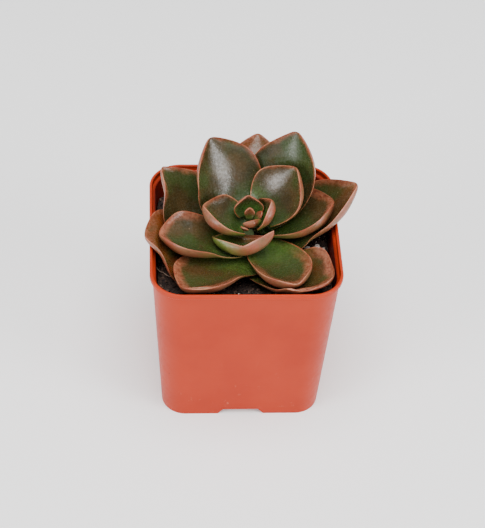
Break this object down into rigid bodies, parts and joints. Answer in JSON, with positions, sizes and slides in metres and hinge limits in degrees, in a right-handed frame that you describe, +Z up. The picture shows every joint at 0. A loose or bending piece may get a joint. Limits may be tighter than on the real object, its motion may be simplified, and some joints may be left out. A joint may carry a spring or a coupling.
{
  "type": "potted succulent",
  "caption": "Rosette succulent with fleshy pointed leaves, growing from potting mix in a small square plastic nursery pot.",
  "frame": {"origin": "Middle of the whole plant's and pot's outline in X and Y, on the plane the pot stands on", "axes": "+Z up, the seen front toward -Y, +X to the right seen from the front"},
  "size_m": [0.0648, 0.0582, 0.0803],
  "materials": {
    "pot": "satin moulded plastic",
    "soil": "matt, crumbly",
    "stem": "satin",
    "leaf": "waxy, softly glossy",
    "core": "waxy",
    "perlite": "matt, porous"
  },
  "bodies": {
    "root": {"core_leaf_1": "core", "core_leaf_2": "core", "core_leaf_3": "core", "core_leaf_4": "core", "heart_leaf_back": "leaf", "heart_leaf_right": "leaf", "inner_leaf_front": "leaf", "inner_leaf_left": "leaf", "inner_leaf_right": "leaf", "lowest_leaf_front_right": "leaf", "lowest_leaf_rear_left": "leaf", "lowest_leaf_rear_right": "leaf", "middle_leaf_left": "leaf", "middle_leaf_right": "leaf", "outer_leaf_front_left": "leaf", "outer_leaf_front_right": "leaf", "outer_leaf_left": "leaf", "outer_leaf_rear": "leaf", "outer_leaf_rear_left": "leaf", "outer_leaf_right": "leaf", "perlite_1": "perlite", "perlite_2": "perlite", "perlite_3": "perlite", "perlite_4": "perlite", "perlite_5": "perlite", "perlite_6": "perlite", "perlite_7": "perlite", "perlite_8": "perlite", "pot": "pot", "soil": "soil", "stem": "stem", "tall_leaf_left": "leaf", "tall_leaf_right": "leaf"}
  },
  "joints": []
}
